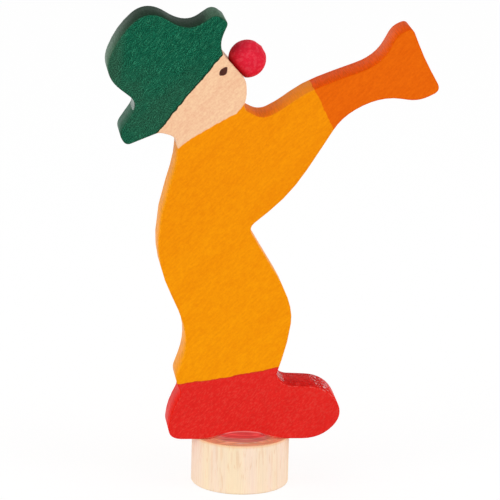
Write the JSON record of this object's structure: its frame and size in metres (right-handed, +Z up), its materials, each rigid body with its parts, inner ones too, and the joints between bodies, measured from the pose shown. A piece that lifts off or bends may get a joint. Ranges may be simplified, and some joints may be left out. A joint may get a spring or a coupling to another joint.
{
  "type": "wooden clown figure",
  "caption": "Painted wooden clown sawn from a flat board, blowing a flared horn, with a turned round nose, standing on a round peg that plugs into the hole of a ring or stand.",
  "frame": {"origin": "centre of the peg's flat underside", "axes": "+Z up along the peg, +X the way the clown faces (to the right in the picture), +Y through the board's thickness with the pictured face at -Y"},
  "size_m": [0.0531, 0.016, 0.0786],
  "materials": {
    "painted_wood": "water-based paint in flat zones, satin, grain showing through",
    "nose_paint": "matt crimson paint",
    "bare_beech": "bare sanded wood",
    "clear_glue": "clear glossy dried glue"
  },
  "bodies": {
    "root": {"figure_board": "painted_wood", "nose_bead": "nose_paint", "base_peg": "bare_beech", "base_dowel": "bare_beech", "front_glue_fillet": "clear_glue", "rear_glue_fillet": "clear_glue"}
  },
  "joints": []
}
